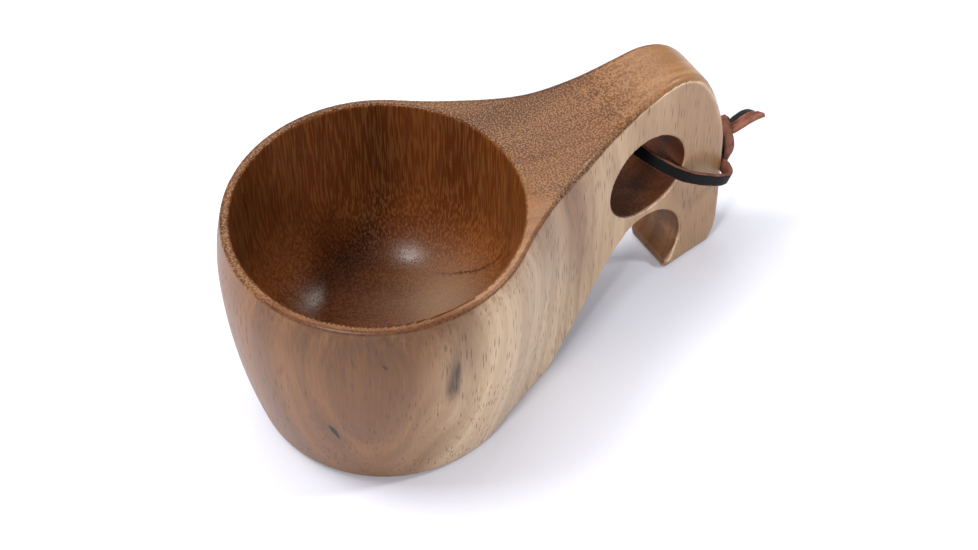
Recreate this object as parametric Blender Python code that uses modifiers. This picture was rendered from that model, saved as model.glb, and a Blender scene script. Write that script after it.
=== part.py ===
"""Carved wooden cup (kuksa) with a leather lace through its handle.

Standalone Blender 4.5 script: metres, +Z up. The origin is the centre of the bowl's flat base, on the
surface the cup stands on, and the handle points along +X.

The cup is one block of wood with upright grain: a turned bowl whose wall sweeps out into a tapering
handle that stands on its own foot. One finger goes through the oval hole in the handle, the next one
under the web below it. A flat leather lace passes through the hole and is knotted behind the handle.
"""
import bmesh
import bpy
from math import acos, asin, atan2, cos, hypot, pi, radians, sin, sqrt, tau
from mathutils import Matrix, Vector

MM = 0.001

# ---- bowl
RIM_HEIGHT = 71.7 * MM
RIM_OUTER_RADIUS = 42.5 * MM
RIM_INNER_RADIUS = 40.0 * MM
BELLY_RADIUS = 44.7 * MM
BELLY_HEIGHT = 54.0 * MM
BASE_RADIUS = 37.7 * MM
BASE_EDGE = 2.8 * MM
HOLLOW_FLOOR = 9.0 * MM
HOLLOW_SHOULDER = 46.0 * MM
HOLLOW_POWER = 2.4

# ---- handle, seen from above: a fillet out of the bowl, then a straight taper
FILLET_RADIUS_AT_RIM = 122.0 * MM
FILLET_RADIUS_AT_BASE = 300.0 * MM
FILLET_POWER = 5
ROOT_X = 60.0 * MM
ROOT_HALF_WIDTH = 13.0 * MM
TIP_X = 112.0 * MM
TIP_HALF_WIDTH = 6.8 * MM
TIP_CORNER = 3.0 * MM

# ---- handle, seen from the side
CREST = (91.0 * MM, 79.5 * MM)
FINGER_HOLE_CENTRE = (81.5 * MM, 48.1 * MM)
FINGER_HOLE_LONG = 15.2 * MM
FINGER_HOLE_SHORT = 13.6 * MM
FINGER_HOLE_TILT = radians(142)
NOTCH_CENTRE = (80.4 * MM, 14.8 * MM)
NOTCH_RADIUS = 15.7 * MM
CUSP_X = 75.2 * MM
TOE_HEIGHT = 3.4 * MM
FOOT_HEEL_X = 107.6 * MM
KEEL_START_X = 38.0 * MM

# ---- lace: a flat strip whose loop hangs from the hole's edge and rests behind the handle
LACE_WIDTH = 4.0 * MM
LACE_THICKNESS = 1.6 * MM
LACE_HINGE = (92.0 * MM, 0.0, 40.4 * MM)
LOOP_ORIGIN = (93.2 * MM, 0.0, 41.6 * MM)
LOOP_TILT = radians(28)
KNOT_CENTRE = (115.9 * MM, -0.2 * MM, 35.5 * MM)
KNOT_RADII = (3.4 * MM, 5.2 * MM, 6.6 * MM)

# ---- resolution
BOWL_STEPS = 64
OUTLINE_STEPS = 40

WOOD_COLOUR = (0.45, 0.24, 0.11)
LEATHER_COLOUR = (0.03, 0.02, 0.018)


def clear_scene():
    for obj in list(bpy.data.objects):
        bpy.data.objects.remove(obj, do_unlink=True)


def new_collection(name):
    collection = bpy.data.collections.new(name)
    bpy.context.scene.collection.children.link(collection)
    return collection


def principled(name, colour, roughness):
    material = bpy.data.materials.new(name)
    material.use_nodes = True
    shader = material.node_tree.nodes["Principled BSDF"]
    shader.inputs["Base Color"].default_value = (*colour, 1.0)
    shader.inputs["Roughness"].default_value = roughness
    shader.inputs["Metallic"].default_value = 0.0
    return material


def add_object(name, data, collection):
    obj = bpy.data.objects.new(name, data)
    collection.objects.link(obj)
    return obj


def mark_cutter(obj):
    obj.hide_render = True
    obj.display_type = "WIRE"


def arc(centre, radius, start, end, steps):
    """Points on a circle from one angle to another, both ends included."""
    angles = [start + (end - start) * i / steps for i in range(steps + 1)]
    return [(centre[0] + radius * cos(a), centre[1] + radius * sin(a)) for a in angles]


def smooth_through(points, per_span):
    """Catmull-Rom curve through 2D points, from the second to the one before the last."""
    curve = []
    for p0, p1, p2, p3 in zip(points, points[1:], points[2:], points[3:]):
        for i in range(per_span):
            t = i / per_span
            weights = (
                -0.5 * t + t * t - 0.5 * t ** 3,
                1.0 - 2.5 * t * t + 1.5 * t ** 3,
                0.5 * t + 2.0 * t * t - 1.5 * t ** 3,
                -0.5 * t * t + 0.5 * t ** 3,
            )
            curve.append(tuple(sum(w * p[k] for w, p in zip(weights, (p0, p1, p2, p3))) for k in (0, 1)))
    curve.append(points[-2])
    return curve


def flat_outline(name, outlines, half_thickness, collection):
    """A filled 2D curve of one or more closed outlines, extruded both ways."""
    curve = bpy.data.curves.new(name, "CURVE")
    curve.dimensions = "2D"
    curve.fill_mode = "BOTH"
    curve.extrude = half_thickness
    for outline in outlines:
        spline = curve.splines.new("POLY")
        spline.points.add(len(outline) - 1)
        for point, (u, v) in zip(spline.points, outline):
            point.co = (u, v, 0.0, 1.0)
        spline.use_cyclic_u = True
    return add_object(name, curve, collection)


def curve_to_mesh(curve_object, collection):
    """Replace a curve object with a welded mesh object of the same name and place."""
    name = curve_object.name
    bpy.context.view_layer.update()
    evaluated = curve_object.evaluated_get(bpy.context.evaluated_depsgraph_get())
    mesh = bpy.data.meshes.new_from_object(evaluated)
    place = curve_object.matrix_world.copy()
    bpy.data.objects.remove(curve_object, do_unlink=True)
    bm = bmesh.new()
    bm.from_mesh(mesh)
    bmesh.ops.remove_doubles(bm, verts=bm.verts, dist=0.00001)
    bmesh.ops.recalc_face_normals(bm, faces=bm.faces)
    bm.to_mesh(mesh)
    bm.free()
    obj = add_object(name, mesh, collection)
    obj.matrix_world = place
    return obj


def shade_smooth(obj, angle=radians(40)):
    obj.data.shade_smooth()
    obj.data.set_sharp_from_angle(angle=angle)


def cut(target, cutter, operation):
    modifier = target.modifiers.new(operation.title(), "BOOLEAN")
    modifier.operation = operation
    modifier.object = cutter
    modifier.solver = "EXACT"


# ---------------------------------------------------------------- cup
def bowl_radius(z):
    """Outer radius of the bowl: widest at the belly, drawn in at the rim, rounded at the base."""
    z = min(max(z, 0.0), RIM_HEIGHT)
    if z > BELLY_HEIGHT:
        up = (z - BELLY_HEIGHT) / (RIM_HEIGHT - BELLY_HEIGHT)
        return BELLY_RADIUS - (BELLY_RADIUS - RIM_OUTER_RADIUS) * up ** 2
    down = (BELLY_HEIGHT - z) / BELLY_HEIGHT
    radius = BELLY_RADIUS - (BELLY_RADIUS - BASE_RADIUS) * down ** 2
    if z < BASE_EDGE:
        radius -= BASE_EDGE - sqrt(BASE_EDGE ** 2 - (BASE_EDGE - z) ** 2)
    return radius


def plan_outline(z):
    """Closed outline of the cup at one height: bowl, fillets, taper and the handle's rounded end."""
    radius = bowl_radius(z)
    down = 1.0 - min(max(z / RIM_HEIGHT, 0.0), 1.0)
    fillet = FILLET_RADIUS_AT_RIM + (FILLET_RADIUS_AT_BASE - FILLET_RADIUS_AT_RIM) * down ** FILLET_POWER
    slope = (TIP_HALF_WIDTH - ROOT_HALF_WIDTH) / (TIP_X - ROOT_X)
    stretch = sqrt(1.0 + slope ** 2)
    # The fillet's centre is one fillet radius outside both the bowl's circle and the taper's line.
    rise = ROOT_HALF_WIDTH - slope * ROOT_X + fillet * stretch
    a, b, c = stretch ** 2, 2.0 * slope * rise, rise ** 2 - (radius + fillet) ** 2
    centre_x = (-b + sqrt(b * b - 4.0 * a * c)) / (2.0 * a)
    centre_y = rise + slope * centre_x
    leave = atan2(centre_y, centre_x)
    half = arc((0.0, 0.0), radius, pi, leave, 20)
    half += arc((centre_x, centre_y), fillet, leave - pi, atan2(-1.0, slope), 12)[1:]
    corner_x = TIP_X - TIP_CORNER
    corner_y = TIP_HALF_WIDTH - slope * TIP_CORNER - TIP_CORNER * stretch
    half += arc((corner_x, corner_y), TIP_CORNER, atan2(1.0, -slope), 0.0, 4)
    mirrored = [(x, -y) for x, y in reversed(half[1:])]
    return half + mirrored


def add_block(collection):
    """The cup's outside as a loft of level outlines, taller than the cup, for the side view to trim."""
    spare = 6.0 * MM
    crown = CREST[1] + spare
    levels = [-spare, 0.0, 0.15 * BASE_EDGE, 0.5 * BASE_EDGE, BASE_EDGE]
    levels += [RIM_HEIGHT * k / 9.0 for k in range(1, 10)]
    levels.append(crown)
    bm = bmesh.new()
    rings = []
    for z in levels:
        rings.append([bm.verts.new((x, y, z)) for x, y in plan_outline(z)])
    for lower, upper in zip(rings, rings[1:]):
        for i in range(len(lower)):
            j = (i + 1) % len(lower)
            bm.faces.new((lower[i], upper[i], upper[j], lower[j]))
    bm.faces.new(rings[0])
    bm.faces.new(reversed(rings[-1]))
    bmesh.ops.recalc_face_normals(bm, faces=bm.faces)
    mesh = bpy.data.meshes.new("cup_body")
    bm.to_mesh(mesh)
    bm.free()
    return add_object("cup_body", mesh, collection)


def side_outline():
    """The cup seen from the side, as (x, z): base, keel, finger notch, foot, end face, crest and rim."""
    left = -(BELLY_RADIUS + 10.0 * MM)
    toe_angle = -asin((NOTCH_CENTRE[1] - TOE_HEIGHT) / NOTCH_RADIUS)
    cusp_angle = acos((CUSP_X - NOTCH_CENTRE[0]) / NOTCH_RADIUS)
    notch = arc(NOTCH_CENTRE, NOTCH_RADIUS, cusp_angle, toe_angle, 22)
    keel_points = [(KEEL_START_X - 8.0 * MM, -5.0 * MM), (KEEL_START_X, 0.0), (44.6 * MM, 5.0 * MM)]
    keel_points += [(55.5 * MM, 13.7 * MM), (66.5 * MM, 23.4 * MM), notch[0], (82.0 * MM, 33.0 * MM)]
    keel = smooth_through(keel_points, 3)
    heel = [(FOOT_HEEL_X, 0.0), (109.8 * MM, 3.4 * MM), (111.0 * MM, 10.0 * MM)]
    end_face = [(112.0 * MM, 24.0 * MM), (111.8 * MM, 38.0 * MM), (110.2 * MM, 51.0 * MM)]
    crest = [(107.4 * MM, 62.0 * MM), (103.2 * MM, 71.6 * MM), (98.0 * MM, 77.4 * MM), CREST]
    top = [(83.0 * MM, 78.3 * MM), (70.0 * MM, 74.9 * MM), (58.0 * MM, 72.5 * MM), (45.0 * MM, RIM_HEIGHT)]
    lead_in = (FOOT_HEEL_X - 6.0 * MM, 0.0)
    lead_out = (32.0 * MM, RIM_HEIGHT)
    back = smooth_through([lead_in] + heel + end_face + crest + top + [lead_out], 4)
    toe = (notch[-1][0] - 0.3 * MM, 0.0)
    return [(left, 0.0)] + keel[:-1] + notch + [toe] + back + [(left, RIM_HEIGHT)]


def finger_hole_outline():
    points = []
    for x, z in arc((0.0, 0.0), 1.0, 0.0, tau * (1.0 - 1.0 / OUTLINE_STEPS), OUTLINE_STEPS - 1):
        u, v = FINGER_HOLE_LONG * x, FINGER_HOLE_SHORT * z
        across = u * cos(FINGER_HOLE_TILT) - v * sin(FINGER_HOLE_TILT)
        up = u * sin(FINGER_HOLE_TILT) + v * cos(FINGER_HOLE_TILT)
        points.append((FINGER_HOLE_CENTRE[0] + across, FINGER_HOLE_CENTRE[1] + up))
    return points


def add_side_trim(collection):
    """A slab with the side view's outline and the finger hole, wide enough to hold the whole cup."""
    outlines = [side_outline(), finger_hole_outline()]
    slab = flat_outline("side_trim", outlines, BELLY_RADIUS + 10.0 * MM, collection)
    slab.rotation_euler = (pi / 2.0, 0.0, 0.0)
    slab = curve_to_mesh(slab, collection)
    mark_cutter(slab)
    return slab


def hollow_radius(z):
    """Inner radius of the bowl: upright below the rim, then rounding in to the floor."""
    if z >= HOLLOW_SHOULDER:
        return RIM_INNER_RADIUS
    down = (HOLLOW_SHOULDER - z) / (HOLLOW_SHOULDER - HOLLOW_FLOOR)
    return RIM_INNER_RADIUS * (1.0 - down ** HOLLOW_POWER) ** (1.0 / HOLLOW_POWER)


def add_hollow(collection):
    """The turned inside of the bowl, as a solid that reaches above the rim."""
    top = RIM_HEIGHT + 8.0 * MM
    profile = [(0.0, top), (RIM_INNER_RADIUS, top)]
    rows = 14
    for i in range(rows + 1):
        turn = 0.5 * pi * i / rows
        z = HOLLOW_SHOULDER - (HOLLOW_SHOULDER - HOLLOW_FLOOR) * sin(turn)
        profile.append((hollow_radius(z) if i < rows else 0.0, z))
    mesh = bpy.data.meshes.new("bowl_hollow")
    edges = [(i, i + 1) for i in range(len(profile) - 1)]
    mesh.from_pydata([(r, 0.0, z) for r, z in profile], edges, [])
    hollow = add_object("bowl_hollow", mesh, collection)
    screw = hollow.modifiers.new("Screw", "SCREW")
    screw.steps = BOWL_STEPS
    screw.render_steps = BOWL_STEPS
    screw.use_merge_vertices = True
    screw.merge_threshold = 0.00001
    mark_cutter(hollow)
    return hollow


def add_cup(parts, cutters):
    cup = add_block(parts)
    cup.data.materials.append(principled("wood", WOOD_COLOUR, 0.45))
    shade_smooth(cup)
    cut(cup, add_side_trim(cutters), "INTERSECT")
    cut(cup, add_hollow(cutters), "DIFFERENCE")
    return cup


# ---------------------------------------------------------------- lace
def band_outline(centre_line, thickness):
    """Closed outline of a strip of even thickness along an open centre line."""
    sides = ([], [])
    last = len(centre_line) - 1
    for i, (u, v) in enumerate(centre_line):
        before = centre_line[max(i - 1, 0)]
        after = centre_line[min(i + 1, last)]
        du, dv = after[0] - before[0], after[1] - before[1]
        length = hypot(du, dv)
        offset = (-dv / length * thickness / 2.0, du / length * thickness / 2.0)
        sides[0].append((u + offset[0], v + offset[1]))
        sides[1].append((u - offset[0], v - offset[1]))
    return sides[0] + sides[1][::-1]


def loop_frame():
    """The loop lies in its own plane, which falls away from the hole towards the handle's end."""
    return Matrix.Translation(LOOP_ORIGIN) @ Matrix.Rotation(LOOP_TILT, 4, "Y")


def add_lace_loop(collection, material):
    """The strip from the knot, round one side of the handle, through the hole and back round the other."""
    route = [(25.0, -1.0), (24.3, -5.0), (23.5, -7.6), (21.4, -10.8), (17.8, -12.8), (13.0, -13.3),
             (7.6, -12.4), (2.8, -10.8), (-1.2, -7.6), (-4.4, -3.0), (-6.6, 2.0), (-7.2, 6.8), (-5.4, 11.0),
             (-1.0, 13.6), (5.0, 14.6), (12.0, 14.0), (18.2, 11.8), (22.2, 8.6), (24.2, 5.2), (25.0, 1.0)]
    centre_line = smooth_through([(u * MM, v * MM) for u, v in route], 3)
    outline = band_outline(centre_line, LACE_THICKNESS)
    band = flat_outline("lace_loop", [outline], LACE_WIDTH / 2.0, collection)
    band.matrix_world = loop_frame()
    band.data.materials.append(material)
    return band


def add_knot(collection, material):
    bm = bmesh.new()
    bmesh.ops.create_uvsphere(bm, u_segments=20, v_segments=12, radius=1.0)
    bmesh.ops.scale(bm, vec=KNOT_RADII, verts=bm.verts)
    mesh = bpy.data.meshes.new("lace_knot")
    bm.to_mesh(mesh)
    bm.free()
    knot = add_object("lace_knot", mesh, collection)
    knot.location = KNOT_CENTRE
    mesh.materials.append(material)
    shade_smooth(knot)
    return knot


def add_tail(name, start, end, roll, collection, material):
    """A short straight end of the strip, between two points, rolled about its own length."""
    start, end = Vector(start) * MM, Vector(end) * MM
    bm = bmesh.new()
    bmesh.ops.create_cube(bm, size=1.0)
    bmesh.ops.scale(bm, vec=((end - start).length, LACE_THICKNESS, LACE_WIDTH), verts=bm.verts)
    mesh = bpy.data.meshes.new(name)
    bm.to_mesh(mesh)
    bm.free()
    tail = add_object(name, mesh, collection)
    aim = (end - start).to_track_quat("X", "Z").to_matrix().to_4x4()
    tail.matrix_world = Matrix.Translation((start + end) / 2.0) @ aim @ Matrix.Rotation(roll, 4, "X")
    mesh.materials.append(material)
    edge = tail.modifiers.new("Bevel", "BEVEL")
    edge.width = 0.3 * MM
    edge.segments = 2
    return tail


def add_lace(parts):
    """The lace's pieces, all carried by an empty on the line that they swing about, across the hole."""
    leather = principled("leather", LEATHER_COLOUR, 0.5)
    pieces = [add_lace_loop(parts, leather), add_knot(parts, leather)]
    pieces.append(
        add_tail("lace_tail_front", (119.2, -1.8, 39.7), (129.0, -2.2, 40.9), radians(67), parts, leather))
    pieces.append(
        add_tail("lace_tail_back", (119.3, 2.4, 39.3), (128.2, 2.6, 40.3), radians(60), parts, leather))
    hinge = add_object("lace_hinge", None, parts)
    hinge.location = LACE_HINGE
    for piece in pieces:
        piece.parent = hinge
        piece.matrix_parent_inverse = Matrix.Translation(LACE_HINGE).inverted()


def main():
    clear_scene()
    parts = new_collection("kuksa_cup")
    cutters = new_collection("cutters")
    add_cup(parts, cutters)
    add_lace(parts)


main()
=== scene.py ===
"""The looks of the carved wooden cup (kuksa) and its leather lace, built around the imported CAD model.

Lengths are in millimetres while the shapes are worked out and in metres once they are Blender meshes.
The cup is sampled from one smooth distance field, so that every edge has its own rounding, and the lace
is one flat strip that is swept from cut end to cut end through its knot and loop.
"""
from math import acos, asin, cos, hypot, radians, sin, sqrt
from types import SimpleNamespace

import bpy
import numpy as np
from mathutils import Matrix, Vector


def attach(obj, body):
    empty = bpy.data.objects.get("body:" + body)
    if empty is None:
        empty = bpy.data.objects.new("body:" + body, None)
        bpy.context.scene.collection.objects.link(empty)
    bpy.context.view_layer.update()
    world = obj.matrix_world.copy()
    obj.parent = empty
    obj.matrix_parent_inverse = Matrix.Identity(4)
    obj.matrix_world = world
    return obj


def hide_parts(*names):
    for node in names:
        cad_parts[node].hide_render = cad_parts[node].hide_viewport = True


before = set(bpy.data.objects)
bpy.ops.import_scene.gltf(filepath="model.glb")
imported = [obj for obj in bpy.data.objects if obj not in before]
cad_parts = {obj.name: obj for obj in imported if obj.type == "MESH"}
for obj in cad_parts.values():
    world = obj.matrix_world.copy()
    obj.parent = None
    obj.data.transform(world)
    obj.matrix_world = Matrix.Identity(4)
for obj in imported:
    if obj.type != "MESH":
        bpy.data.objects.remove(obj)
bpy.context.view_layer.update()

MM = 0.001

# ---- bowl, as in the CAD model (mm)
RIM_HEIGHT = 71.7
RIM_OUTER_RADIUS = 42.5
RIM_INNER_RADIUS = 40.0
BELLY_RADIUS = 44.7
BELLY_HEIGHT = 54.0
BASE_RADIUS = 37.7
BASE_EDGE = 2.8
HOLLOW_FLOOR = 9.0
HOLLOW_SHOULDER = 46.0
HOLLOW_POWER = 2.4

# ---- handle, as in the CAD model except that its end stands up to 1 mm further out (mm)
FILLET_RADIUS_AT_RIM = 122.0
FILLET_RADIUS_AT_BASE = 300.0
FILLET_POWER = 5
ROOT_X = 60.0
ROOT_HALF_WIDTH = 13.0
TIP_X = 113.0
TIP_HALF_WIDTH = 6.8
TIP_CORNER = 3.0
CREST = (91.0, 79.5)
FINGER_HOLE_CENTRE = (81.5, 48.1)
FINGER_HOLE_LONG = 15.2
FINGER_HOLE_SHORT = 13.6
FINGER_HOLE_TILT = radians(142)
NOTCH_CENTRE = (80.4, 14.8)
NOTCH_RADIUS = 15.7
CUSP_X = 75.2
TOE_HEIGHT = 3.4
FOOT_HEEL_X = 108.5
KEEL_START_X = 38.0

# ---- roundings that the CAD model leaves out or has smaller (mm)
TOP_EDGE = 2.4
LOW_EDGE = 0.9
FOOT_EDGE = 2.3
RIM_EDGE = 0.5
HOLE_EDGE = 0.8

# ---- how finely the cup is sampled (mm, and points per curve)
VOXEL = 0.9
GRID_MARGIN = 2.0
TABLE_STEP = 0.25
TABLE_MARGIN = 8.0
NOTCH_STEPS = 80
KEEL_STEPS = 12
BACK_STEPS = 16
SURFACE_PASSES = 4
SURFACE_REACH = 0.05
NORMAL_REACH = 0.3

# ---- lace (mm)
LACE_WIDTH = 4.0
LACE_THICKNESS = 1.3
LACE_CORNER = 0.25
LACE_FACE_POINTS = 6
LACE_STEPS = 10
LOOP_ORIGIN = (93.2, 0.0, 41.6)
LOOP_TILT = radians(28)
LOOP_START = (23.3, 5.2)
LOOP_END = (22.9, -2.4)

# ---- camera: at the photo's angle, in metres
CAMERA_TARGET = Vector((0.0295, -0.0086, 0.035))
CAMERA_AZIMUTH = radians(-30.84)
CAMERA_ELEVATION = radians(49.54)
CAMERA_ROLL = radians(-1.09)
CAMERA_DISTANCE = 0.646
CAMERA_LENS = 83.77
CAMERA_SENSOR = 36.0
CAMERA_NEAR = 0.01
CAMERA_FAR = 20.0

# ---- studio: name, azimuth and elevation (degrees), width and height (m), power (W), shows in reflections
SOFTBOXES = (
    ("key_back_left", 145, 60, 0.50, 0.50, 12.0, False),
    ("overhead", 100, 80, 0.70, 0.70, 8.0, False),
    ("front_left", -148, 38, 0.22, 0.26, 8.9, True),
    ("front_right", -30, 44, 0.13, 0.17, 6.6, True),
    ("top_back", 59, 52, 0.90, 0.70, 3.0, True),
)
SOFTBOX_DISTANCE = 1.3
BACKDROP_STRENGTH = 0.20
FLOOR_HALF = 4.0
FLOOR_COLOUR = (0.715, 0.72, 0.79)
FLOOR_ROUGHNESS = 0.9
FLOOR_SPECULAR = 0.1

# ---- wood: the pith stands behind the handle (m), colours are linear, wave is for the wavy bands
PITH = (0.080, 0.126)
PITH_DISTANCE = 0.15
HEART_LIGHT = (0.230, 0.099, 0.032)
HEART_DARK = (0.157, 0.065, 0.021)
HEART_BAND = (0.090, 0.036, 0.016)
SAP_LIGHT = (0.66, 0.480, 0.305)
SAP_DARK = (0.50, 0.338, 0.198)
WAVE = (0.40, 0.21, 0.10)
WAVE_INSIDE = (0.40, 0.185, 0.055)
PORE = (0.10, 0.05, 0.025)
# painted shade on the far walls inside the bowl
FAR_WALL_SHADE = (0.020, 0.0055, 0.0030)
# painted light: a lighter pool on the bowl's inside bottom
BOTTOM_LIGHT_POOL = (0.37, 0.26, 0.175)
SMOKE = (0.055, 0.030, 0.018)
CRACK = (0.006, 0.004, 0.003)
WOOD_SPECULAR = 0.32
WOOD_RELIEF = 0.00010

# Tints, which multiply the wood's colour on one kind of place.
END_TINT = (0.485, 0.45, 0.53)
EDGE_TINT = (0.62, 0.46, 0.29)
TAN_TINT = (0.66, 0.54, 0.45)
# painted sheen on the crest
CREST_SHEEN_TINT = (2.4, 3.0, 3.6)
SHADE_TINT = (0.62, 0.58, 0.62)
# darker and redder inside the bowl: oil soaked into the wood, and painted shade
INSIDE_OIL_AND_SHADE_TINT = (0.70, 0.41, 0.27)
# painted shade on the walls of the finger hole and the notch
HOLE_SHADE_TINT = (0.38, 0.20, 0.10)
RIM_FRONT_TINT = (1.75, 1.75, 1.60)

# Patterns per metre: across the rings, along the rings and up the fibres. The bend is in plain x, y, z.
BEND_SCALE = (28.0, 28.0, 7.0)
SAP_EDGE_SCALE = (120.0, 26.0, 10.0)
WIDE_SCALE = (75.0, 5.0, 2.5)
NARROW_SCALE = (420.0, 30.0, 6.0)
# breaks up the painted shade on the far walls inside the bowl
FAR_WALL_SHADE_SCALE = (160.0, 90.0, 16.0)
WAVE_SCALE = (2200.0, 1650.0, 110.0)
PORE_SCALE = (1400.0, 1400.0, 105.0)
PORE_CLOUD_SCALE = (260.0, 260.0, 45.0)
FIBRE_SCALE = (2400.0, 2400.0, 70.0)
WISP_SCALE = (900.0, 900.0, 60.0)
WAVER_SCALE = 420.0

# Marks of the wood and spots of painted light and shade, each with its centre and its reach along each axis
# (m), and most with a strength.
SHADED_SPOT = ((0.055, 0.017, 0.068), (0.016, 0.011, 0.03))
# painted light: where the pool of light lies on the bowl's inside bottom
BOTTOM_LIGHT_SPOT = ((0.023, 0.004, 0.013), (0.014, 0.014, 0.012))
# painted shade: two soft dark spots on the far walls inside the bowl, where the light from the left does
# not reach
FAR_WALL_SHADE_SPOTS = (
    ((0.0060, 0.0292, 0.040), (0.024, 0.0045, 0.045), 0.85),
    ((-0.0260, 0.0375, 0.054), (0.013, 0.0085, 0.018), 0.80),
)
FAR_WALL_SHADE_SLOPE = -0.29
SMOKE_MARKS = (
    ((-0.0026, -0.0446, 0.0505), (0.0019, 0.012, 0.0052), 0.95),
    ((-0.0037, -0.0444, 0.0445), (0.0023, 0.012, 0.0052), 0.95),
    ((-0.0010, -0.0446, 0.0575), (0.0036, 0.012, 0.0080), 0.40),
    ((-0.0200, -0.0390, 0.0680), (0.0210, 0.016, 0.0080), 0.50),
    ((-0.0370, -0.0240, 0.0660), (0.0120, 0.014, 0.0110), 0.34),
)
CRACKS = (
    ((-0.0321, -0.0289, 0.0274), (0.00070, 0.010, 0.0032), 0.98),
    ((-0.0207, -0.0394, 0.0595), (0.00035, 0.010, 0.0010), 0.55),
)
CRACK_SLANT = 0.35
CRACK_HALO = 2.6
INNER_CRACK = ((0.0276, 0.0168, 0.0), (0.00028, 0.0095, 1.0))
INNER_CRACK_WAY = (0.745, 0.667)

# ---- leather
BLACK_LEATHER = (0.006, 0.006, 0.006)
BLACK_LEATHER_DARK = (0.003, 0.003, 0.003)
SUEDE = (0.25, 0.105, 0.070)
SUEDE_DARK = (0.10, 0.040, 0.028)
LEATHER_SPECULAR = 0.12
LEATHER_CLOUD = 260.0


# ================================================================ camera, light, floor
def add_camera():
    camera = bpy.data.objects.new("camera", bpy.data.cameras.new("camera"))
    bpy.context.scene.collection.objects.link(camera)
    level = cos(CAMERA_ELEVATION)
    back = Vector((sin(CAMERA_AZIMUTH) * level, -cos(CAMERA_AZIMUTH) * level, sin(CAMERA_ELEVATION)))
    camera.location = CAMERA_TARGET + back * CAMERA_DISTANCE
    aim = (-back).to_track_quat("-Z", "Y").to_matrix().to_4x4()
    camera.matrix_world = Matrix.Translation(camera.location) @ aim @ Matrix.Rotation(CAMERA_ROLL, 4, "Z")
    camera.data.lens = CAMERA_LENS
    camera.data.sensor_width = CAMERA_SENSOR
    camera.data.clip_start = CAMERA_NEAR
    camera.data.clip_end = CAMERA_FAR
    bpy.context.scene.camera = camera


def add_softbox(name, azimuth, elevation, width, height, power, in_reflections):
    """A rectangular light that looks at the cup. Azimuth is its direction seen from the cup, from +X."""
    light = bpy.data.lights.new(name, "AREA")
    light.shape = "RECTANGLE"
    light.size = width
    light.size_y = height
    light.energy = power
    box = bpy.data.objects.new(name, light)
    bpy.context.scene.collection.objects.link(box)
    a, e = radians(azimuth), radians(elevation)
    away = Vector((cos(a) * cos(e), sin(a) * cos(e), sin(e)))
    box.location = CAMERA_TARGET + away * SOFTBOX_DISTANCE
    box.rotation_mode = "QUATERNION"
    box.rotation_quaternion = (-away).to_track_quat("-Z", "Y")
    box.visible_glossy = in_reflections


def add_studio():
    for softbox in SOFTBOXES:
        add_softbox(*softbox)
    world = bpy.data.worlds.new("studio")
    bpy.context.scene.world = world
    world.use_nodes = True
    backdrop = world.node_tree.nodes["Background"]
    backdrop.inputs["Color"].default_value = (1.0, 1.0, 1.0, 1.0)
    backdrop.inputs["Strength"].default_value = BACKDROP_STRENGTH
    bpy.context.scene.view_settings.view_transform = "Standard"


def add_floor():
    mesh = bpy.data.meshes.new("floor")
    corners = [(x * FLOOR_HALF, y * FLOOR_HALF, 0) for x, y in ((-1, -1), (1, -1), (1, 1), (-1, 1))]
    mesh.from_pydata(corners, [], [(0, 1, 2, 3)])
    floor = bpy.data.objects.new("floor", mesh)
    bpy.context.scene.collection.objects.link(floor)
    material = bpy.data.materials.new("pale_floor")
    material.use_nodes = True
    shader = material.node_tree.nodes["Principled BSDF"]
    shader.inputs["Base Color"].default_value = (*FLOOR_COLOUR, 1.0)
    shader.inputs["Roughness"].default_value = FLOOR_ROUGHNESS
    shader.inputs["Specular IOR Level"].default_value = FLOOR_SPECULAR
    mesh.materials.append(material)


# ================================================================ outlines (mm)
def arc(centre, radius, start, end, steps):
    """Points on a circle from one angle to another, both ends included."""
    angles = [start + (end - start) * i / steps for i in range(steps + 1)]
    return [(centre[0] + radius * cos(a), centre[1] + radius * sin(a)) for a in angles]


def smooth_through(points, per_span):
    """Catmull-Rom curve through points, from the second to the one before the last."""
    p = np.array(points, float)
    t = (np.arange(per_span) / per_span)[:, None]
    spans = []
    for p0, p1, p2, p3 in zip(p, p[1:], p[2:], p[3:]):
        spans.append(
            p0 * (-0.5 * t + t ** 2 - 0.5 * t ** 3)
            + p1 * (1.0 - 2.5 * t ** 2 + 1.5 * t ** 3)
            + p2 * (0.5 * t + 2.0 * t ** 2 - 1.5 * t ** 3)
            + p3 * (-0.5 * t ** 2 + 0.5 * t ** 3)
        )
    spans.append(p[-2][None, :])
    return np.concatenate(spans)


def side_outline():
    """The cup seen from the side, as (x, z): base, keel, finger notch, foot, end face, crest and rim."""
    left = -(BELLY_RADIUS + 10.0)
    toe_angle = -asin((NOTCH_CENTRE[1] - TOE_HEIGHT) / NOTCH_RADIUS)
    cusp_angle = acos((CUSP_X - NOTCH_CENTRE[0]) / NOTCH_RADIUS)
    notch = arc(NOTCH_CENTRE, NOTCH_RADIUS, cusp_angle, toe_angle, NOTCH_STEPS)
    keel_points = [(KEEL_START_X - 8.0, -5.0), (KEEL_START_X, 0.0), (44.6, 5.0)]
    keel_points += [(55.5, 13.7), (66.5, 23.4), notch[0], (82.0, 33.0)]
    keel = [tuple(p) for p in smooth_through(keel_points, KEEL_STEPS)]
    heel = [(FOOT_HEEL_X, 0.0), (110.6, 3.4), (111.9, 10.0)]
    end_face = [(112.9, 24.0), (112.8, 38.0), (111.1, 51.0)]
    crest = [(108.1, 62.0), (103.7, 71.6), (98.2, 77.4), CREST]
    top = [(83.0, 78.3), (70.0, 74.9), (58.0, 72.5), (45.0, RIM_HEIGHT)]
    lead_in = (FOOT_HEEL_X - 6.0, 0.0)
    lead_out = (32.0, RIM_HEIGHT)
    back_points = [lead_in] + heel + end_face + crest + top + [lead_out]
    back = [tuple(p) for p in smooth_through(back_points, BACK_STEPS)]
    toe = (notch[-1][0] - 0.3, 0.0)
    return np.array([(left, 0.0)] + keel[:-1] + notch + [toe] + back + [(left, RIM_HEIGHT)])


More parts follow.
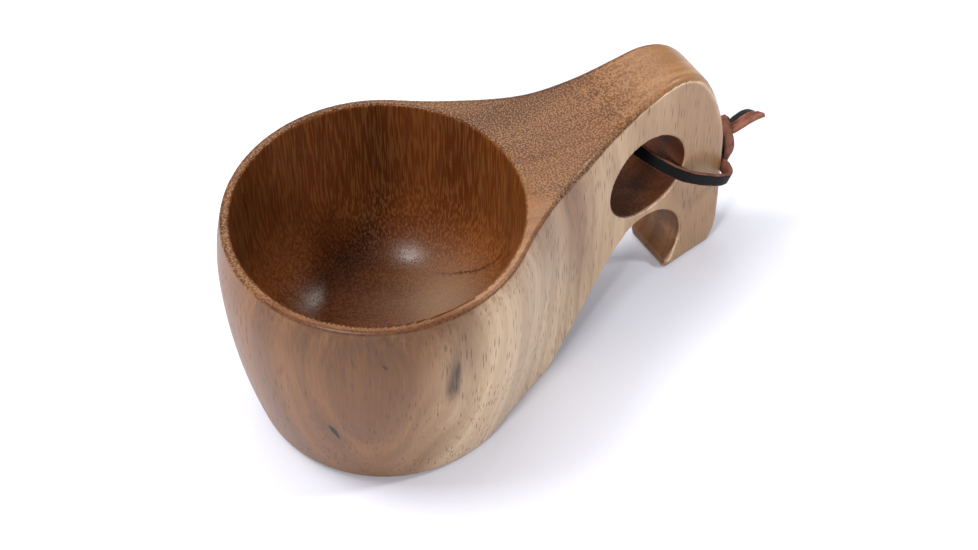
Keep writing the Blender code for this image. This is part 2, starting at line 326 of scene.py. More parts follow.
# ================================================================ distance field of the cup (mm)
class SideTable:
    """Signed distance to the side outline, tabulated on a fine grid and read back smoothly."""

    def __init__(self):
        outline = side_outline()
        self.low = outline.min(axis=0) - TABLE_MARGIN
        span = outline.max(axis=0) + TABLE_MARGIN - self.low
        steps = np.ceil(span / TABLE_STEP).astype(int)
        x = self.low[0] + TABLE_STEP * np.arange(steps[0])
        z = self.low[1] + TABLE_STEP * np.arange(steps[1])
        grid_x, grid_z = np.meshgrid(x, z, indexing="ij")
        squared = np.full(grid_x.shape, 1e9)
        inside = np.zeros(grid_x.shape, bool)
        for start, end in zip(outline, np.roll(outline, -1, axis=0)):
            run = end - start
            across, rise = grid_x - start[0], grid_z - start[1]
            t = np.clip((across * run[0] + rise * run[1]) / (run @ run), 0.0, 1.0)
            squared = np.minimum(squared, (across - t * run[0]) ** 2 + (rise - t * run[1]) ** 2)
            crosses = (start[1] > grid_z) != (end[1] > grid_z)
            if run[1]:
                inside ^= crosses & (across < run[0] * rise / run[1])
        self.values = np.where(inside, -1.0, 1.0) * np.sqrt(squared)

    def distance(self, x, z):
        u = np.clip((x - self.low[0]) / TABLE_STEP, 0.0, self.values.shape[0] - 1.001)
        v = np.clip((z - self.low[1]) / TABLE_STEP, 0.0, self.values.shape[1] - 1.001)
        i, k = u.astype(int), v.astype(int)
        u, v = u - i, v - k
        lower = self.values[i, k] * (1 - u) + self.values[i + 1, k] * u
        upper = self.values[i, k + 1] * (1 - u) + self.values[i + 1, k + 1] * u
        return lower * (1 - v) + upper * v


def bowl_radius(z):
    """The bowl's outer radius at each height, from the rounded base edge to the rim."""
    z = np.clip(z, 0.0, RIM_HEIGHT)
    up = np.clip((z - BELLY_HEIGHT) / (RIM_HEIGHT - BELLY_HEIGHT), 0.0, 1.0)
    down = np.clip((BELLY_HEIGHT - z) / BELLY_HEIGHT, 0.0, 1.0)
    radius = BELLY_RADIUS - (BELLY_RADIUS - RIM_OUTER_RADIUS) * up ** 2
    radius -= (BELLY_RADIUS - BASE_RADIUS) * down ** 2
    edge = np.clip(BASE_EDGE - z, 0.0, BASE_EDGE)
    return radius - (BASE_EDGE - np.sqrt(BASE_EDGE ** 2 - edge ** 2))


def plan_distance(x, y, z):
    """Distance to the level outline at each height: bowl, fillet, taper and rounded end."""
    y = np.abs(y)
    radius = bowl_radius(z)
    down = 1.0 - np.clip(z / RIM_HEIGHT, 0.0, 1.0)
    fillet = FILLET_RADIUS_AT_RIM + (FILLET_RADIUS_AT_BASE - FILLET_RADIUS_AT_RIM) * down ** FILLET_POWER
    slope = (TIP_HALF_WIDTH - ROOT_HALF_WIDTH) / (TIP_X - ROOT_X)
    stretch = sqrt(1.0 + slope ** 2)
    rise = ROOT_HALF_WIDTH - slope * ROOT_X + fillet * stretch
    a, b, c = stretch ** 2, 2.0 * slope * rise, rise ** 2 - (radius + fillet) ** 2
    centre_x = (-b + np.sqrt(b * b - 4.0 * a * c)) / (2.0 * a)
    centre_y = rise + slope * centre_x
    bowl = np.hypot(x, y) - radius
    hollow_side = fillet - np.hypot(x - centre_x, y - centre_y)
    corner_x = TIP_X - TIP_CORNER
    corner_y = TIP_HALF_WIDTH - slope * TIP_CORNER - TIP_CORNER * stretch
    line = ((y - corner_y) - slope * (x - corner_x)) / stretch - TIP_CORNER
    taper = round_max(line, x - TIP_X, TIP_CORNER)
    before_fillet = centre_x * y - centre_y * x > 0.0
    leave_x = centre_x + fillet * slope / stretch
    leave_y = centre_y - fillet / stretch
    past_fillet = (x - leave_x) + slope * (y - leave_y) > 0.0
    return np.where(before_fillet, bowl, np.where(past_fillet, taper, hollow_side))


def hollow_distance(x, y, z):
    """Distance to the turned inside of the bowl, below zero within it."""
    r = np.hypot(x, y)
    deep = np.clip((HOLLOW_SHOULDER - z) / (HOLLOW_SHOULDER - HOLLOW_FLOOR), 0.0, None)
    out = r / RIM_INNER_RADIUS
    size = (out ** HOLLOW_POWER + deep ** HOLLOW_POWER + 1e-12) ** (1.0 / HOLLOW_POWER)
    by_radius = (out / size) ** (HOLLOW_POWER - 1.0) / RIM_INNER_RADIUS
    by_depth = (deep / size) ** (HOLLOW_POWER - 1.0) / (HOLLOW_SHOULDER - HOLLOW_FLOOR)
    return (size - 1.0) / np.hypot(by_radius, by_depth)


def hole_distance(x, z):
    """Distance to the oval finger hole, below zero within it."""
    across, up = x - FINGER_HOLE_CENTRE[0], z - FINGER_HOLE_CENTRE[1]
    u = across * cos(FINGER_HOLE_TILT) + up * sin(FINGER_HOLE_TILT)
    v = -across * sin(FINGER_HOLE_TILT) + up * cos(FINGER_HOLE_TILT)
    size = np.hypot(u / FINGER_HOLE_LONG, v / FINGER_HOLE_SHORT) + 1e-9
    steepness = np.hypot(u / FINGER_HOLE_LONG ** 2, v / FINGER_HOLE_SHORT ** 2) / size + 1e-9
    return (size - 1.0) / steepness


def round_max(a, b, radius):
    """The part inside both a and b, with their shared edge rounded."""
    corner = np.hypot(np.maximum(a + radius, 0), np.maximum(b + radius, 0))
    return np.minimum(-radius, np.maximum(a, b)) + corner


def smoothstep(low, high, value):
    """0 at the low end, 1 at the high end, and smooth between them."""
    t = np.clip((value - low) / (high - low), 0.0, 1.0)
    return t * t * (3.0 - 2.0 * t)


def cup_distance(points, side_table):
    """Distance to the whole cup's surface, below zero in the wood."""
    x, y, z = points[..., 0], points[..., 1], points[..., 2]
    on_top = smoothstep(40.0, 60.0, z) * smoothstep(38.0, 60.0, x)
    on_foot = smoothstep(9.0, 1.0, z) * smoothstep(72.0, 80.0, x)
    edge = LOW_EDGE + (TOP_EDGE - LOW_EDGE) * on_top + (FOOT_EDGE - LOW_EDGE) * on_foot
    body = round_max(plan_distance(x, y, z), side_table.distance(x, z), edge)
    body = round_max(body, -hole_distance(x, z), HOLE_EDGE)
    return round_max(body, -hollow_distance(x, y, z), RIM_EDGE)


def surface_net(values, low, step):
    """Quads round the zero level of a grid of values: one vertex in each cell that the surface crosses."""
    inside = values < 0.0
    cells = tuple(n - 1 for n in values.shape)
    total = np.zeros(cells + (3,))
    count = np.zeros(cells)
    shifts = [(i, j, k) for i in (0, 1) for j in (0, 1) for k in (0, 1)]

    def corner(grid, shift):
        return grid[tuple(slice(s, s + n) for s, n in zip(shift, cells))]

    for start in shifts:
        for axis in range(3):
            if start[axis]:
                continue
            end = tuple(s + (a == axis) for a, s in enumerate(start))
            va, vb = corner(values, start), corner(values, end)
            crossed = corner(inside, start) != corner(inside, end)
            t = np.where(crossed, va / np.where(crossed, va - vb, 1.0), 0.0)
            for a in range(3):
                total[..., a] += np.where(crossed, start[a] + (t if a == axis else 0.0), 0.0)
            count += crossed
    used = count > 0
    index = np.full(cells, -1)
    index[used] = np.arange(used.sum())
    base = np.stack(np.nonzero(used), axis=1)
    verts = low + step * (base + total[used] / count[used][:, None])
    quads = []
    for axis in range(3):
        b, c = (axis + 1) % 3, (axis + 2) % 3
        ahead = np.roll(inside, -1, axis=axis)
        core = [slice(1, -1)] * 3
        core[axis] = slice(0, -1)
        flips = (inside != ahead)[tuple(core)]
        at = np.stack(np.nonzero(flips), axis=1)
        at += [0 if a == axis else 1 for a in range(3)]
        ring = []
        for db, dc in ((1, 1), (0, 1), (0, 0), (1, 0)):
            cell = at.copy()
            cell[:, b] -= db
            cell[:, c] -= dc
            ring.append(index[cell[:, 0], cell[:, 1], cell[:, 2]])
        ring = np.stack(ring, axis=1)
        outward = inside[at[:, 0], at[:, 1], at[:, 2]]
        quads.append(np.where(outward[:, None], ring, ring[:, ::-1]))
    return verts, np.concatenate(quads)


def slope_of(points, side_table, reach):
    """The distance field's direction of steepest rise, by central differences."""
    slope = np.empty_like(points)
    for axis in range(3):
        shift = np.zeros(3)
        shift[axis] = reach
        slope[:, axis] = cup_distance(points + shift, side_table) - cup_distance(points - shift, side_table)
    return slope / (2.0 * reach)


def cup_mesh():
    """The cup's vertices, quads and normals (mm), moved from the grid onto the exact surface."""
    side_table = SideTable()
    low = np.array([-BELLY_RADIUS, -BELLY_RADIUS, 0.0]) - GRID_MARGIN
    high = np.array([TIP_X, BELLY_RADIUS, CREST[1]]) + GRID_MARGIN
    axes = [np.arange(a, b, VOXEL) for a, b in zip(low, high)]
    grid = np.stack(np.meshgrid(*axes, indexing="ij"), axis=-1)
    verts, quads = surface_net(cup_distance(grid, side_table), low, VOXEL)
    for _ in range(SURFACE_PASSES):
        slope = slope_of(verts, side_table, SURFACE_REACH)
        steep = (slope ** 2).sum(axis=1) + 1e-6
        verts -= slope * (cup_distance(verts, side_table) / steep)[:, None]
    normals = slope_of(verts, side_table, NORMAL_REACH)
    normals /= np.linalg.norm(normals, axis=1)[:, None]
    return verts, quads, normals


# ================================================================ shader helpers
class Shader:
    """Builds a material's node tree by calls, so that a pattern reads like a formula."""

    def __init__(self, name):
        self.material = bpy.data.materials.new(name)
        self.material.use_nodes = True
        self.tree = self.material.node_tree
        self.surface = self.tree.nodes["Principled BSDF"]

    def node(self, kind, inputs=(), **settings):
        node = self.tree.nodes.new(kind)
        for name, value in settings.items():
            setattr(node, name, value)
        for key, value in dict(inputs).items():
            self.put(node.inputs[key], value)
        return node

    def put(self, socket, value):
        if isinstance(value, bpy.types.NodeSocket):
            self.tree.links.new(value, socket)
        elif isinstance(value, tuple) and len(value) == 3 and socket.type == "RGBA":
            socket.default_value = (*value, 1.0)
        else:
            socket.default_value = value

    def math(self, operation, a, b=0.0):
        return self.node("ShaderNodeMath", {0: a, 1: b}, operation=operation).outputs[0]

    def add(self, a, b):
        return self.math("ADD", a, b)

    def times(self, a, b):
        return self.math("MULTIPLY", a, b)

    def larger(self, a, b):
        return self.math("MAXIMUM", a, b)

    def length(self, a, b):
        return self.math("SQRT", self.add(self.times(a, a), self.times(b, b)))

    def vector(self, operation, a, b):
        return self.node("ShaderNodeVectorMath", {0: a, 1: b}, operation=operation).outputs[0]

    def stretch(self, vector, scale):
        return self.vector("MULTIPLY", vector, scale)

    def split(self, vector):
        return self.node("ShaderNodeSeparateXYZ", {0: vector}).outputs

    def join(self, x, y, z):
        return self.node("ShaderNodeCombineXYZ", {0: x, 1: y, 2: z}).outputs[0]

    def noise(self, vector, scale=1.0, detail=2.0, roughness=0.5):
        inputs = {"Vector": vector, "Scale": scale, "Detail": detail, "Roughness": roughness}
        return self.node("ShaderNodeTexNoise", inputs).outputs["Fac"]

    def cells(self, vector, scale=1.0):
        return self.node("ShaderNodeTexVoronoi", {"Vector": vector, "Scale": scale}).outputs["Distance"]

    def ease(self, value, low, high, out_low=0.0, out_high=1.0):
        """A smooth step from out_low to out_high as the value goes from low to high."""
        inputs = {"Value": value, "From Min": low, "From Max": high, "To Min": out_low, "To Max": out_high}
        return self.node("ShaderNodeMapRange", inputs, interpolation_type="SMOOTHSTEP").outputs["Result"]

    def fade(self, mask, least=0.0):
        """1 where a mask is 0, down to the least value where the mask is 1."""
        return self.ease(mask, 0.0, 1.0, 1.0, least)

    def swing(self, noise, amount):
        """Noise moved to swing about zero, times an amount."""
        return self.times(self.add(noise, -0.5), amount)

    def blend(self, factor, a, b, mode="MIX"):
        node = self.node("ShaderNodeMix", data_type="RGBA", blend_type=mode)
        self.put(node.inputs[0], factor)
        self.put(node.inputs[6], a)
        self.put(node.inputs[7], b)
        return node.outputs[2]

    def tint(self, factor, colour, by):
        """A colour, multiplied by another as far as the factor says."""
        return self.blend(factor, colour, self.blend(1.0, colour, by, "MULTIPLY"))

    def gaussian(self, vector, centre, size):
        """1 at a point and falling off round it, over a size along each axis."""
        away = self.vector("DIVIDE", self.vector("SUBTRACT", vector, centre), size)
        product = self.node("ShaderNodeVectorMath", {0: away, 1: away}, operation="DOT_PRODUCT")
        return self.math("EXPONENT", self.times(product.outputs["Value"], -1.0))

    def blend_values(self, factor, a, b):
        return self.node("ShaderNodeMix", {0: factor, 2: a, 3: b}, data_type="FLOAT").outputs[0]

    def near_point(self, x, z, centre, reach):
        """1 within a reach (mm) of a line along Y through a point given as its X and Z (mm)."""
        away = self.length(self.add(x, -centre[0] * MM), self.add(z, -centre[1] * MM))
        return self.ease(away, (reach + 0.3) * MM, (reach - 0.3) * MM)

    def bump(self, height, distance, strength):
        inputs = {"Height": height, "Distance": distance, "Strength": strength}
        return self.node("ShaderNodeBump", inputs).outputs["Normal"]


# ================================================================ wood
def wood_place(s):
    """Where a point lies on the cup and in the tree, as values that all the patterns share."""
    w = SimpleNamespace()
    w.place = s.node("ShaderNodeTexCoord").outputs["Object"]
    w.facing = s.split(s.node("ShaderNodeTexCoord").outputs["Normal"])
    w.x, w.y, w.z = s.split(w.place)
    # Distance from the pith, bent a little by slow noise, and distance along the ring.
    w.bend = s.swing(s.noise(s.stretch(w.place, BEND_SCALE), detail=2.0), 0.010)
    to_x = s.math("SUBTRACT", w.x, PITH[0])
    to_y = s.math("SUBTRACT", w.y, PITH[1])
    ring = s.add(s.length(to_x, to_y), w.bend)
    along = s.times(s.math("ARCTAN2", to_y, to_x), PITH_DISTANCE)
    w.grain = s.join(ring, along, w.z)
    return w


def mark_faces(s, w):
    """Masks of the bowl's inside, of end grain, and of the walls of the finger hole and the notch."""
    outward = s.add(s.times(w.facing[0], w.x), s.times(w.facing[1], w.y))
    faces_in = s.times(s.ease(outward, 0.004, 0.001), s.ease(w.facing[2], -0.6, -0.3))
    near_mouth = s.ease(w.z, 0.052, 0.056)
    within = s.ease(s.length(w.x, w.y), (RIM_INNER_RADIUS + 0.6) * MM, RIM_INNER_RADIUS * MM)
    w.inside = s.times(within, s.larger(faces_in, near_mouth))
    w.outside = s.fade(w.inside)

    w.upward = s.add(w.facing[2], s.swing(s.noise(w.place, WAVER_SCALE, detail=2.0), 0.34))
    end_grain = s.larger(s.ease(w.upward, 0.22, 0.40), s.ease(w.facing[2], -0.50, -0.86))
    end_grain = s.blend_values(w.inside, end_grain, s.ease(w.facing[2], 0.45, 0.92))
    w.end_grain = s.times(end_grain, s.ease(w.x, 0.088, 0.104, 1.0, 0.45))

    w.along_y = s.math("ABSOLUTE", w.facing[1])
    wall = s.ease(w.along_y, 0.75, 0.45)
    near_hole = s.near_point(w.x, w.z, FINGER_HOLE_CENTRE, FINGER_HOLE_LONG + 1.5)
    near_notch = s.near_point(w.x, w.z, NOTCH_CENTRE, NOTCH_RADIUS + 1.5)
    w.hole_wall = s.times(near_hole, wall)
    w.notch_wall = s.times(near_notch, wall)


def mark_sapwood(s, w):
    """A mask of the pale sapwood, whose edge is drawn out along the rings."""
    toward_bark = s.add(s.times(w.y, -0.80), s.times(s.math("MINIMUM", w.x, 0.03), 0.55))
    toward_bark = s.add(toward_bark, s.times(s.add(w.z, -0.042), -0.25))
    ragged = s.swing(s.noise(s.stretch(w.grain, SAP_EDGE_SCALE), detail=3.0), 0.022)
    sap = s.ease(s.add(toward_bark, ragged), 0.020, 0.044)
    on_handle = s.ease(w.x, 0.044, 0.070)
    sap = s.larger(sap, s.times(on_handle, s.ease(w.facing[1], 0.0, -0.5)))
    sap = s.times(sap, s.fade(w.end_grain, 0.45))
    # The walls of the finger hole and the notch lose the pale sapwood: painted shade in these recesses.
    w.sap = s.times(sap, s.fade(s.add(w.hole_wall, s.times(w.notch_wall, 0.75))))


def heart_and_sap(s, w):
    """The plain wood: heartwood and sapwood, with their wide and narrow ring bands."""
    w.wide = s.noise(s.stretch(w.grain, WIDE_SCALE), detail=2.0, roughness=0.6)
    w.narrow = s.noise(s.stretch(w.grain, NARROW_SCALE), detail=3.0, roughness=0.6)
    streaks = s.ease(w.narrow, 0.36, 0.66)
    streaks = s.blend_values(s.times(w.inside, 0.65), streaks, 0.64)
    dark_band = s.times(s.ease(w.wide, 0.50, 0.68), s.ease(w.inside, 0.0, 1.0, 0.50, 0.35))
    heart = s.blend(streaks, HEART_DARK, HEART_LIGHT)
    heart = s.blend(dark_band, heart, HEART_BAND)
    tanned = s.larger(s.ease(w.x, 0.044, 0.095), s.ease(w.x, 0.004, -0.022))
    pale = s.tint(s.times(tanned, 0.8), s.blend(streaks, SAP_DARK, SAP_LIGHT), TAN_TINT)
    return s.blend(w.sap, heart, pale)


def soak_end_grain(s, w, colour):
    """Oil soaks into end grain, which turns darker and redder, most of all on the rounded edges. A painted
    sheen lightens the crest, and a painted shade darkens the far part of the handle top.
    """
    colour = s.tint(s.times(w.end_grain, s.fade(w.inside, 0.4)), colour, END_TINT)
    edge_band = s.times(s.ease(w.upward, 0.18, 0.34), s.ease(w.along_y, 0.08, 0.34))
    edge_band = s.times(s.times(edge_band, w.outside), s.ease(w.z, 0.055, 0.066))
    colour = s.tint(edge_band, colour, EDGE_TINT)
    # A painted sheen lightens and greys the crest.
    crest = s.times(s.ease(w.x, 0.070, 0.090), s.ease(w.facing[2], 0.0, 0.4))
    colour = s.tint(crest, colour, CREST_SHEEN_TINT)
    return s.tint(s.times(s.gaussian(w.place, *SHADED_SPOT), 0.6), colour, SHADE_TINT)


def shade_openings(s, w, colour):
    """The bowl's inside, darker from oil and painted shade, with painted shade on its far walls and a
    painted pool of light on its bottom, and painted shade on the walls of the two finger openings.
    """
    # The bowl's inside turns darker and redder: oil, and painted shade.
    colour = s.tint(w.inside, colour, INSIDE_OIL_AND_SHADE_TINT)
    # Painted shade on the far walls inside the bowl, in two soft spots broken up by noise.
    uneven = s.ease(s.noise(s.stretch(w.grain, FAR_WALL_SHADE_SCALE), detail=3.0), 0.30, 0.60, 0.55, 1.0)
    off_shade_plane = s.add(s.add(w.y, s.times(w.x, FAR_WALL_SHADE_SLOPE)), s.times(w.bend, 0.5))
    shade_plane_place = s.join(w.x, off_shade_plane, w.z)
    for centre, size, strength in FAR_WALL_SHADE_SPOTS:
        dark = s.times(s.times(s.gaussian(shade_plane_place, centre, size), uneven), strength)
        colour = s.blend(s.times(dark, w.inside), colour, FAR_WALL_SHADE)
    # A painted pool of light on the bowl's inside bottom.
    light_pool = s.times(s.gaussian(w.place, *BOTTOM_LIGHT_SPOT), w.inside)
    colour = s.blend(s.times(light_pool, 0.48), colour, BOTTOM_LIGHT_POOL)
    # Painted shade on the walls of the finger hole and, less, of the notch.
    return s.tint(s.larger(w.hole_wall, s.times(w.notch_wall, 0.55)), colour, HOLE_SHADE_TINT)


def draw_wavy_bands(s, w, colour):
    """Light wavy bands round the pores, under a millimetre apart, drawn out along the fibres."""
    near_rim = s.times(s.ease(w.y, 0.0, -0.020), s.ease(w.x, 0.045, 0.035))
    rim_front = s.times(s.times(near_rim, w.end_grain), w.outside)
    colour = s.tint(rim_front, colour, RIM_FRONT_TINT)
    wiggle = s.noise(s.stretch(w.grain, WAVE_SCALE), detail=0.6, roughness=0.4)
    waves = s.ease(s.add(wiggle, s.swing(w.wide, -0.2)), 0.44, 0.60)
    strength = s.times(waves, s.ease(w.end_grain, 0.0, 1.0, 0.10, 0.40))
    strength = s.blend_values(w.inside, strength, s.times(waves, 0.22))
    strength = s.times(strength, s.ease(w.sap, 0.3, 1.0, 1.0, 0.6))
    # Fewer light bands on the walls of the finger openings, as part of their painted shade.
    strength = s.times(strength, s.fade(s.add(w.hole_wall, w.notch_wall), 0.25))
    strength = s.times(strength, s.ease(w.x, 0.080, 0.100, 1.0, 0.5))
    strength = s.times(strength, s.fade(near_rim, 0.35))
    return s.blend(strength, colour, s.blend(w.inside, WAVE, WAVE_INSIDE))


def draw_pores(s, w, colour):
    """Pores: dark short strokes along the fibres, faint dots on end grain."""
    pore_cells = s.cells(s.stretch(w.grain, PORE_SCALE))
    sparse = s.ease(s.noise(s.stretch(w.grain, PORE_CLOUD_SCALE), detail=1.0), 0.34, 0.52)
    pores = s.times(s.ease(pore_cells, 0.34, 0.12), sparse)
    w.pores = s.times(pores, s.fade(w.end_grain, 0.25))
    return s.blend(s.times(w.pores, 0.66), colour, PORE)


def draw_fibres(s, w, colour):
    """Fine fibres, which lighten and darken the wood a little."""
    w.fibre = s.noise(s.stretch(w.grain, FIBRE_SCALE), detail=2.0)
    shade = s.ease(w.fibre, 0.25, 0.75, 0.90, 1.08)
    return s.blend(1.0, colour, s.join(shade, shade, shade), "MULTIPLY")


def outer_cracks(s, w, wisp):
    """The two short slanted cracks on the bowl's near side: their lines, and the soft shade round them."""
    slanted = s.join(s.add(s.add(w.x, s.times(w.z, CRACK_SLANT)), s.swing(wisp, 0.0016)), w.y, w.z)
    cracks, halo = 0.0, 0.0
    for (crack_x, crack_y, crack_z), size, strength in CRACKS:
        centre = (crack_x + CRACK_SLANT * crack_z, crack_y, crack_z)
        line = s.ease(s.gaussian(slanted, centre, size), 0.20, 0.60)
        cracks = s.larger(cracks, s.times(line, strength))
        wider = tuple(CRACK_HALO * side for side in size)
        halo = s.larger(halo, s.times(s.gaussian(slanted, centre, wider), 0.55 * strength))
    return s.times(cracks, w.outside), s.times(halo, w.outside)


def inner_crack(s, w, wisp):
    """The fine crack on the bowl's inside, across a level direction."""
    way_x, way_y = INNER_CRACK_WAY
    across = s.add(s.add(s.times(w.x, way_x), s.times(w.y, way_y)), s.swing(wisp, 0.0022))
    down = s.add(s.times(w.x, way_y), s.times(w.y, -way_x))
    seam = s.gaussian(s.join(across, down, 0.0), *INNER_CRACK)
    return s.times(s.times(seam, w.inside), 0.70)


def draw_smoke_and_cracks(s, w, colour):
    """The smoky streak on the bowl's near side, and the cracks."""
    wisp = s.noise(s.stretch(w.grain, WISP_SCALE), detail=3.0)
    patchy = s.ease(wisp, 0.30, 0.62, 0.35, 1.0)
    for centre, size, strength in SMOKE_MARKS:
        mark = s.times(s.times(s.gaussian(w.place, centre, size), patchy), strength)
        colour = s.blend(s.times(mark, w.outside), colour, SMOKE)
    cracks, halo = outer_cracks(s, w, wisp)
    w.cracks = s.larger(cracks, inner_crack(s, w, wisp))
    colour = s.blend(halo, colour, HEART_BAND)
    return s.blend(w.cracks, colour, CRACK)


def wood():
    """Oiled hardwood with upright grain: rings stand round a pith behind the handle, in 3D."""
    s = Shader("oiled_hardwood")
    w = wood_place(s)
    mark_faces(s, w)
    mark_sapwood(s, w)
    colour = heart_and_sap(s, w)
    colour = soak_end_grain(s, w, colour)
    colour = shade_openings(s, w, colour)
    colour = draw_wavy_bands(s, w, colour)
    colour = draw_pores(s, w, colour)
    colour = draw_fibres(s, w, colour)
    colour = draw_smoke_and_cracks(s, w, colour)
    s.put(s.surface.inputs["Base Color"], colour)
    rough = s.add(s.ease(w.narrow, 0.3, 0.7, 0.33, 0.39), s.times(w.pores, 0.15))
    rough = s.add(rough, s.add(s.times(w.inside, -0.08), s.times(w.hole_wall, 0.22)))
    s.put(s.surface.inputs["Roughness"], rough)
    s.surface.inputs["Specular IOR Level"].default_value = WOOD_SPECULAR
    height = s.add(s.times(s.larger(w.pores, w.cracks), -1.0), s.times(w.fibre, 0.35))
    s.put(s.surface.inputs["Normal"], s.bump(height, WOOD_RELIEF, 0.5))
    return s.material


# ================================================================ leather
def leather(name, colour, darker, roughness, pitch, depth):
    """Leather: a grain side with fine pebbles, or a flesh side with short fibres."""
    s = Shader(name)
    place = s.node("ShaderNodeTexCoord").outputs["Object"]
    pebbles = s.cells(place, 1.0 / pitch)
    cloud = s.noise(place, LEATHER_CLOUD, detail=4.0, roughness=0.65)
    tone = s.ease(s.add(cloud, s.times(pebbles, 0.15)), 0.35, 0.70)
    s.put(s.surface.inputs["Base Color"], s.blend(tone, darker, colour))
    s.put(s.surface.inputs["Roughness"], s.ease(cloud, 0.3, 0.7, roughness - 0.06, roughness + 0.06))
    s.surface.inputs["Specular IOR Level"].default_value = LEATHER_SPECULAR
    s.put(s.surface.inputs["Normal"], s.bump(s.add(pebbles, s.times(cloud, 0.6)), depth, 0.6))
    return s.material


def black_side():
    return leather("black_grain_leather", BLACK_LEATHER, BLACK_LEATHER_DARK,
                   roughness=0.55, pitch=0.00035, depth=0.00006)


def brown_side():
    return leather("brown_suede", SUEDE, SUEDE_DARK, roughness=0.90, pitch=0.00022, depth=0.00012)


# ================================================================ cup
def add_cup():
    verts, quads, normals = cup_mesh()
    mesh = bpy.data.meshes.new("carved_cup")
    mesh.from_pydata((verts * MM).tolist(), [], quads.tolist())
    mesh.validate()
    mesh.shade_smooth()
    mesh.normals_split_custom_set_from_vertices(normals.tolist())
    cup = bpy.data.objects.new("carved_cup", mesh)
    bpy.context.scene.collection.objects.link(cup)
    mesh.materials.append(wood())
    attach(cup, "cup")
    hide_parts("cup_body")


# ================================================================ lace
def loop_point(u, v):
    """A point of the loop's plane, which falls away from the hole towards the handle's end."""
    return (LOOP_ORIGIN[0] + u * cos(LOOP_TILT), v, LOOP_ORIGIN[2] - u * sin(LOOP_TILT))


def loop_route():
    """The loop's points, in its own plane, with the black side facing out of the loop."""
    far_strand = [(22.9, 8.0), (21.2, 10.2), (17.6, 12.2), (12.0, 14.0), (5.0, 14.6)]
    far_strand += [(-1.0, 13.6), (-5.4, 11.0), (-7.2, 6.8), (-6.6, 2.0), (-4.4, -3.0)]
    near_strand = [(-1.2, -7.6), (2.8, -10.8), (7.6, -12.4), (12.4, -13.1), (16.2, -13.1)]
    near_strand += [(19.2, -12.2), (21.0, -10.2), (21.9, -7.9), (22.2, -5.6)]
    ring = [LOOP_START] + far_strand + near_strand + [LOOP_END]
    loop = []
    for before, (u, v), after in zip(ring, ring[1:], ring[2:]):
        du, dv = after[0] - before[0], after[1] - before[1]
        size = hypot(du, dv)
        outward = (dv / size * cos(LOOP_TILT), -du / size, -dv / size * sin(LOOP_TILT))
        loop.append((loop_point(u, v), outward))
    return loop


def lace_route():
    """The strip's middle line from cut end to cut end, each point with the way its black side faces."""
    black_up, black_down = (-0.10, 0.52, 0.85), (0.10, -0.48, -0.87)
    tail_back = [
        ((127.7, 1.0, 39.3), black_up), ((125.6, 1.2, 39.6), black_up),
        ((123.0, 1.1, 39.3), black_up), ((120.4, 1.2, 38.5), black_up),
    ]
    core = [
        ((118.6, 2.9, 38.4), (-0.6, 0.5, 0.6)), ((117.0, 4.3, 36.0), (-0.7, 0.7, 0.0)),
        ((115.4, 4.9, 33.2), (0.3, 0.9, 0.0)), (loop_point(*LOOP_START), (0.7, 0.6, -0.3)),
    ]
    rise = [
        (loop_point(*LOOP_END), (0.92, -0.05, -0.45)), ((113.6, -0.2, 30.9), (1.0, 0.0, -0.25)),
        ((113.8, 0.7, 32.4), (1.0, 0.0, -0.1)), ((113.9, 0.5, 34.6), (1.0, 0.0, 0.0)),
        ((114.3, 0.0, 36.8), (0.8, -0.5, 0.0)), ((115.0, 0.5, 38.4), (0.3, -0.8, -0.3)),
        ((116.2, 2.2, 39.0), (0.0, -0.6, 0.3)),
    ]
    wrap = [
        ((117.3, 3.4, 39.4), (-0.5, -0.7, -0.6)), ((117.3, 2.6, 40.7), (0.0, -0.7, -0.7)),
        ((116.8, 1.0, 41.2), (-0.1, -0.2, -1.0)), ((116.4, -0.6, 41.1), (-0.2, 0.1, -1.0)),
        ((116.1, -2.1, 40.5), (-0.3, 0.3, -0.95)), ((115.9, -3.5, 39.2), (-0.35, 0.7, -0.7)),
        ((115.8, -4.5, 37.2), (-0.4, 0.9, -0.4)), ((115.6, -5.0, 34.8), (-0.45, 1.0, 0.0)),
        ((115.3, -4.9, 32.4), (-0.55, 0.95, 0.2)), ((114.9, -4.2, 30.3), (-0.7, 0.7, 0.4)),
        ((114.8, -2.9, 29.2), (-0.6, 0.3, 0.9)), ((115.4, -1.6, 30.2), (-0.4, -0.6, 0.6)),
        ((116.6, -0.7, 33.4), (0.0, -1.0, 0.0)), ((117.4, -1.0, 36.8), (0.1, -1.0, -0.3)),
    ]
    tail_front = [
        ((118.9, -1.7, 38.9), black_down), ((121.4, -2.1, 40.0), black_down),
        ((124.2, -2.3, 40.8), black_down), ((126.6, -2.4, 41.0), black_down),
        ((128.6, -2.4, 40.8), black_down),
    ]
    return tail_back + core + loop_route() + rise + wrap + tail_front


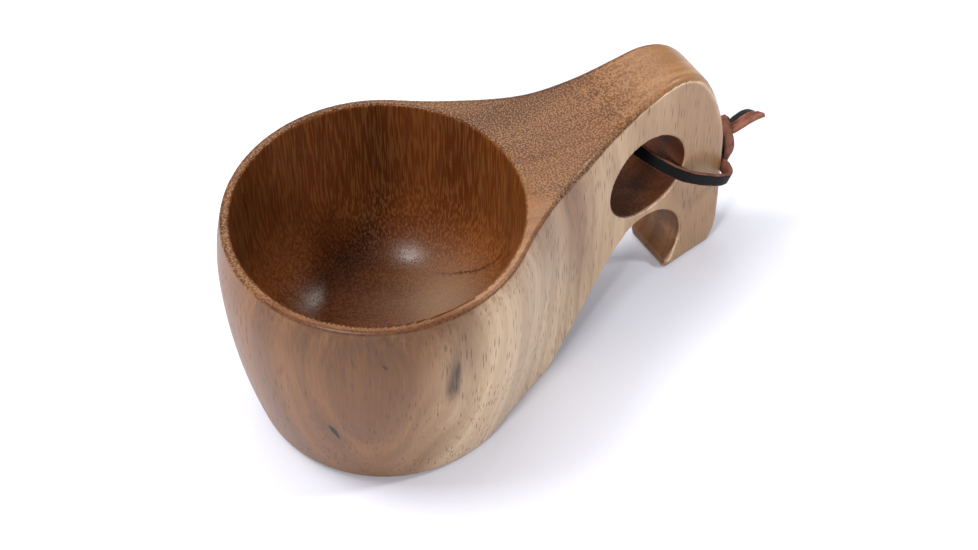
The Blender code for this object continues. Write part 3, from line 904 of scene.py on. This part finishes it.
def strip_profile():
    """The strip's cross-section, counter-clockwise from the black side's edge, with cut corners."""
    wide, thick = LACE_WIDTH / 2.0, LACE_THICKNESS / 2.0
    flat, upright = wide - LACE_CORNER, thick - LACE_CORNER
    across = np.linspace(flat, -flat, LACE_FACE_POINTS)
    top = [(a, thick) for a in across]
    left = [(-wide, upright), (-wide, 0.0), (-wide, -upright)]
    bottom = [(a, -thick) for a in across[::-1]]
    right = [(wide, -upright), (wide, 0.0), (wide, upright)]
    return np.array(top + left + bottom + right), len(top) - 1


def unit(vectors):
    return vectors / np.linalg.norm(vectors, axis=1)[:, None]


def sweep_strip(profile):
    """The strip's middle line (mm), and the profile set across it at each of the line's points."""
    route = lace_route()
    points = [np.array(point) for point, _ in route]
    sides = [side for _, side in route]
    points = [2 * points[0] - points[1]] + points + [2 * points[-1] - points[-2]]
    line = smooth_through(points, LACE_STEPS)
    black_side_faces = smooth_through([sides[0]] + sides + [sides[-1]], LACE_STEPS)
    along = unit(np.gradient(line, axis=0))
    width = unit(np.cross(black_side_faces, along))
    face = np.cross(along, width)
    distance = np.concatenate([[0.0], np.cumsum(np.linalg.norm(np.diff(line, axis=0), axis=1))])
    hand_cut = 1.0 + 0.03 * np.sin(distance * 0.9) + 0.02 * np.sin(distance * 2.3 + 1.0)
    sideways = width[:, None, :] * (profile[:, 0] * hand_cut[:, None])[..., None]
    return line, line[:, None, :] + sideways + face[:, None, :] * profile[None, :, 1, None]


def add_lace():
    profile, black_count = strip_profile()
    line, rings = sweep_strip(profile)
    n = len(profile)
    faces, slots = [], []
    for start in range(0, (len(line) - 1) * n, n):
        for j in range(n):
            k = (j + 1) % n
            faces.append((start + j, start + k, start + n + k, start + n + j))
            slots.append(0 if j < black_count else 1)
    last = (len(line) - 1) * n
    faces += [tuple(range(n))[::-1], tuple(last + j for j in range(n))]
    slots += [1, 1]
    mesh = bpy.data.meshes.new("leather_lace")
    mesh.from_pydata((rings.reshape(-1, 3) * MM).tolist(), [], faces)
    mesh.materials.append(black_side())
    mesh.materials.append(brown_side())
    mesh.polygons.foreach_set("material_index", slots)
    mesh.shade_smooth()
    mesh.set_sharp_from_angle(angle=radians(50))
    lace = bpy.data.objects.new("leather_lace", mesh)
    bpy.context.scene.collection.objects.link(lace)
    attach(lace, "lace")
    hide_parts("lace_loop", "lace_knot", "lace_tail_front", "lace_tail_back")


add_camera()
add_studio()
add_floor()
add_cup()
add_lace()
